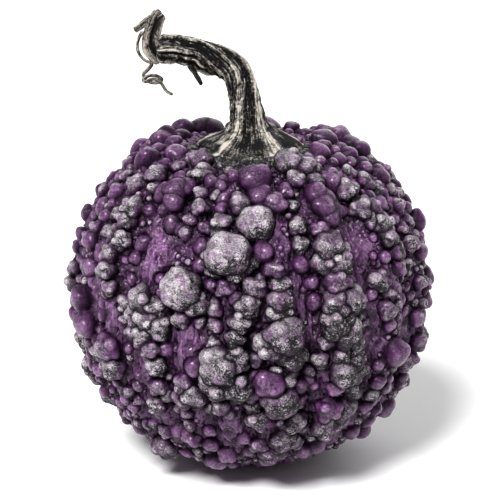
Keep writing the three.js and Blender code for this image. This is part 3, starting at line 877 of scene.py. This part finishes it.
# ---- Stem and strands: routes ----
STEM_PATH = [
    (-1, 0, 184), (-1, 0, 196), (-1, 0, 206), (-2, 0, 220), (-5, 0, 236), (-11, -1, 247.5),
    (-25, -3, 255.5), (-42, -5, 260), (-57, -7, 260),
]
VINE_CLIMB = [
    (-53.5, -7.5, 252.5), (-57, -8, 257), (-59.4, -8.3, 263), (-59.2, -8.3, 269), (-57.5, -8, 274.5),
    (-55.5, -7, 279.5), (-53.5, -6, 282.5),
]
VINE_FOLD = [(-53.3, -6, 283), (-57, -6.5, 280.5), (-62, -7, 277.5), (-66.3, -8, 274), (-69.8, -8.5, 272)]
FIBRE_PATH = [
    (-64.5, -8, 271.5), (-66.8, -9, 267.5), (-67.9, -9.5, 262.5), (-66.8, -9.5, 258), (-63.9, -9, 254.3),
    (-59.5, -8, 252),
]
TENDRIL_PATH = [
    (-58.9, -7.5, 252), (-60.1, -8, 250), (-62.3, -8.5, 247.5), (-64.3, -8.5, 245.5), (-63.9, -8, 243.3),
    (-61.7, -7.5, 240.8), (-58.6, -7, 239.7), (-55.2, -7.5, 240.2), (-53.4, -9, 242.2),
    (-55.6, -10.5, 244.4), (-59.2, -11.5, 245.2), (-62.6, -12.5, 244.4), (-64.4, -14, 242.6),
    (-62.6, -15.2, 241.9), (-60, -15.2, 243.2), (-57, -14.7, 243.3), (-54.2, -13.7, 241.4),
    (-52.4, -12.7, 238.7), (-50.8, -12, 236), (-48.6, -12, 234.4), (-46.4, -12, 233.5),
]
TWIG_PATH = [(-37, -8, 252), (-33, -8.5, 245.5), (-29.2, -9.5, 238.8)]


# ---- Stem and strands: outlines ----
RING_RADIUS = 9


def ring_noise(share, angle, length, size, seed):
    """Noise on a swept surface: size is (along, around) in millimetres on a section of RING_RADIUS."""
    spot = np.column_stack((
        share.ravel() * length / size[0] + seed,
        RING_RADIUS * np.cos(angle.ravel()) / size[1] + 20,
        RING_RADIUS * np.sin(angle.ravel()) / size[1] + 20,
    ))
    return noise(spot, 1.0).reshape(share.shape)


# The stem has ridges that twist on the way up. Its foot spreads into a pad, furthest to the front.
STEM_LENGTH = 116.0
STEM_GRAIN = 118
STEM_RADIUS = 9.3
TIP_NARROWING = 1.4
RIDGES = 5
TWIST = math.radians(118)
PAD_HEIGHT = 23.5
PAD_DIP = 3
PAD_SPREAD = 18
FLARE_SPREAD = 6
FLARE_HEIGHT = 30
FRONT_SPREAD = 0.62
STRAND_GRAIN = 40
VINE_GRAIN = 30
GULLY_WIDTH = 0.55


def stem_outline(share, angle):
    height = share * STEM_LENGTH
    twist = TWIST * np.clip((share - 0.28) / 0.5, 0, 1) ** 1.2
    facing = np.clip(np.cos(angle), 0, 1)
    pad = 1 / (1 + (height / (PAD_HEIGHT - PAD_DIP * facing)) ** 12)
    own = angle + 0.45 * pad * np.sin(angle) - twist
    own = own + 0.14 * ring_noise(share, angle * 0, STEM_GRAIN, (16, 9), 3)
    lobe = np.cos(RIDGES * (own - math.pi / RIDGES))
    crest = np.clip(0.5 + 0.5 * lobe, 0, 1)
    cord = crest ** 3 * np.where(np.abs((own + math.pi) % (2 * math.pi) - math.pi) < 1.3, 1.0, 0.7)
    fibre = ring_noise(share, own, STEM_GRAIN, (34, 1.5), 50)
    thread = ring_noise(share, own, STEM_GRAIN, (22, 0.75), 90)
    split = np.exp(-((ring_noise(share, own, STEM_GRAIN, (40, 1.9), 170) / 0.09) ** 2))
    knots = ring_noise(share, own, STEM_GRAIN, (3.2, 3.2), 130)
    crumbs = ring_noise(share, own, STEM_GRAIN, (1.6, 1.4), 210)
    straight = STEM_RADIUS - TIP_NARROWING * share
    skirt = PAD_SPREAD * pad + FLARE_SPREAD * np.exp(-((height / FLARE_HEIGHT) ** 2))
    front = 1 + FRONT_SPREAD * facing
    radius = straight * (0.94 + 0.13 * crest ** 1.5) + skirt * front * (0.9 + 0.1 * lobe)
    bumps = 1.1 * fibre + 0.8 * thread - 0.7 * split
    radius += bumps + (0.5 + 2.6 * pad) * knots + (0.3 + 0.8 * pad) * crumbs
    belly = np.exp(-(((share - 0.72) / 0.13) ** 2)) * np.clip(-np.sin(angle), 0, 1)
    radius += belly * (1.2 + 2.0 * knots)
    # Painted shadow: a dark band along the front of the arm, carried into the colour through the ridge tone.
    shadow = np.exp(-(((share - 0.85) / 0.2) ** 2)) * np.clip(np.cos(angle - 0.25), 0, 1) ** 2
    ridge = 0.15 + 0.75 * cord + 0.3 * fibre + 0.4 * thread - 0.4 * split
    ridge = ridge + 0.3 * knots + 0.4 * crumbs - 0.28 * shadow
    spread = np.clip(1.5 * pad, 0, 1)
    leg = crest ** 8 * np.clip(height / 16, 0, 1)
    ridge += spread * (0.12 + 0.75 * leg + 0.35 * knots + 0.55 * crumbs - ridge)
    return radius, ridge, own


def strand_outline(start, end, sharp, seed):
    """A thin strand whose radius runs from start to end."""
    def outline(share, angle):
        wave = ring_noise(share, angle, STRAND_GRAIN, (6, 5), seed)
        wave = wave + 0.6 * ring_noise(share, angle, STRAND_GRAIN, (14, 2.5), seed + 30)
        radius = (start + (end - start) * share) * (1 + sharp * 0.5 * wave)
        return radius, 0.5 + 0.5 * wave, angle
    return outline


def vine_outline(start, end, depth, seed, root=1.0):
    """A ribbon with a gully along it; root is the share of its width at which it begins."""
    def outline(share, angle):
        away = np.abs((angle - 0.15 + math.pi) % (2 * math.pi) - math.pi)
        gully = np.exp(-((away / GULLY_WIDTH) ** 2))
        wave = ring_noise(share, angle, VINE_GRAIN, (8, 2.2), seed)
        wave = wave + 0.5 * ring_noise(share, angle, VINE_GRAIN, (5, 1.1), seed + 9)
        radius = (start + (end - start) * share) * (1 - depth * gully + 0.12 * wave)
        radius *= root + (1 - root) * np.clip(share / 0.3, 0, 1)
        return radius, 0.65 - 1.6 * depth * gully + 0.4 * wave, angle
    return outline


# ---- Stem and strands: pieces ----
fine_rings = 340
THIN = 1.6
stem = swept_piece("stem_wood", [sweep(STEM_PATH, fine_rings, 180, stem_outline, rounded=0.4)])
vine = swept_piece("vine_ribbon", [
    sweep(VINE_CLIMB, 110, 64, vine_outline(6.5, 4.2, 0.9, 5, 0.5), 0.6, 0.5),
    sweep(VINE_FOLD, 80, 48, vine_outline(2.7, 1.9, 0.3, 15), 0.8, 0.5, 3.0),
])
fibre = swept_piece("fibre", [sweep(FIBRE_PATH, 60, 14, strand_outline(1.1, 0.95, 0.3, 4), scale=THIN)])
curl = strand_outline(1.15, 0.95, 0.3, 8)
tendril = swept_piece("curled_tendril", [sweep(TENDRIL_PATH, 240, 16, curl, scale=THIN)])
twig = swept_piece("twig", [sweep(TWIG_PATH, 40, 20, strand_outline(1.9, 1.3, 0.35, 12), scale=THIN)])


# ---- Wood materials ----
def fibre_texture(tree, width, length):
    """Noise in streaks that follow the swept piece: width and length of a streak in millimetres."""
    spot = tree.nodes.new("ShaderNodeCombineXYZ")
    tree.links.new(calculate(tree, "MULTIPLY", attribute(tree, "along"), width / length), spot.inputs[0])
    tree.links.new(attribute(tree, "around_x"), spot.inputs[1])
    tree.links.new(attribute(tree, "around_y"), spot.inputs[2])
    made = tree.nodes.new("ShaderNodeTexNoise")
    tree.links.new(spot.outputs[0], made.inputs["Vector"])
    made.inputs["Scale"].default_value = 1 / width
    made.inputs["Detail"].default_value = 3.0
    made.inputs["Roughness"].default_value = 0.6
    made.inputs["Distortion"].default_value = 0.3
    return made.outputs["Fac"]


def fibrous(name, dark, middle, pale, lowest, highest):
    """Dry wood, dark in its splits and pale on its ridges: lowest and highest are the tones that it spans."""
    material, tree, shader = new_material(name)
    threads = fibre_texture(tree, 0.8, 16)
    hairs = fibre_texture(tree, 0.4, 5)
    crumbs = texture(tree, 800, 4, roughness=0.6)
    blotch = texture(tree, 150, 3)
    tone = weighted(tree, (attribute(tree, "ridge"), 0.85), (threads, 1.3), (hairs, 1.7), (crumbs, 1.7))
    tone = weighted(tree, (tone, 1.0), (blotch, 0.6), (-2.61, 1.0))
    colour = ramp(tree, span(tree, tone, lowest, highest), [(0.12, dark), (0.48, middle), (0.95, pale)])
    tree.links.new(colour, shader.inputs["Base Color"])
    shader.inputs["Roughness"].default_value = 0.8
    shader.inputs["Specular IOR Level"].default_value = 0.18
    relief = weighted(tree, (threads, 1.0), (hairs, 0.5), (crumbs, 0.6))
    tree.links.new(bump(tree, relief, 0.8, 0.0009), shader.inputs["Normal"])
    return material


STEM_TONES = ((0.007, 0.007, 0.008), (0.150, 0.138, 0.125), (0.57, 0.53, 0.47))
VINE_TONES = ((0.010, 0.010, 0.010), (0.150, 0.136, 0.120), (0.47, 0.43, 0.375))
TWIG_TONES = ((0.008, 0.008, 0.008), (0.03, 0.03, 0.03), (0.12, 0.11, 0.1))
stem.data.materials.append(fibrous("stem wood", *STEM_TONES, 0.0, 1.0))
dry = fibrous("dry vine", *VINE_TONES, 0.0, 0.95)
for piece in (vine, fibre, tendril):
    piece.data.materials.append(dry)
twig.data.materials.append(fibrous("twig bark", *TWIG_TONES, 0.2, 1.1))

# ---- Which piece stands for which node ----
for piece, node, finish in (
    (fruit, "pumpkin_body", "rind"),
    (stem, "stem", "stem"),
    (vine, "vine_end", "vine"),
    (fibre, "fibre_strand", "vine"),
    (tendril, "tendril", "vine"),
    (twig, "twig_stub", "twig"),
):
    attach(piece, "root")
    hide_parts(node)

# ---- Floor and light ----
FLOOR_RADIUS = 6
FLOOR_SIDES = 96
FLOOR_HEIGHT = -0.0004
floor_mesh = bpy.data.meshes.new("floor")
turns = [i * 2 * math.pi / FLOOR_SIDES for i in range(FLOOR_SIDES)]
rim = [(FLOOR_RADIUS * math.cos(a), FLOOR_RADIUS * math.sin(a), FLOOR_HEIGHT) for a in turns]
floor_mesh.from_pydata(rim, [], [list(range(FLOOR_SIDES))])
floor = bpy.data.objects.new("floor", floor_mesh)
bpy.context.collection.objects.link(floor)
pale, tree, shader = new_material("pale floor")
shader.inputs["Base Color"].default_value = (0.93, 0.93, 0.93, 1)
shader.inputs["Roughness"].default_value = 0.9
shader.inputs["Specular IOR Level"].default_value = 0.1
floor_mesh.materials.append(pale)

world = bpy.data.worlds.new("studio")
bpy.context.scene.world = world
world.use_nodes = True
world.node_tree.nodes["Background"].inputs["Color"].default_value = (1, 1, 1, 1)
# The sky lights the scene softly; seen directly, it is as white as the floor.
rays = world.node_tree.nodes.new("ShaderNodeLightPath")
seen = span(world.node_tree, rays.outputs["Is Camera Ray"], 0, 1, 0.25, 1.0)
world.node_tree.links.new(seen, world.node_tree.nodes["Background"].inputs["Strength"])


def sunlight(name, direction, strength, softness):
    data = bpy.data.lights.new(name, "SUN")
    data.energy = strength
    data.angle = math.radians(softness)
    lamp = bpy.data.objects.new(name, data)
    bpy.context.collection.objects.link(lamp)
    lamp.rotation_euler = Vector(direction).to_track_quat("-Z", "Y").to_euler()


sunlight("key", (0.42, 0.9, -1.05), 3.9, 20)
sunlight("back light", (-0.5, -1.0, -0.8), 1.7, 80)
bpy.context.scene.view_settings.view_transform = "Standard"
bpy.context.scene.view_settings.look = "Medium High Contrast"
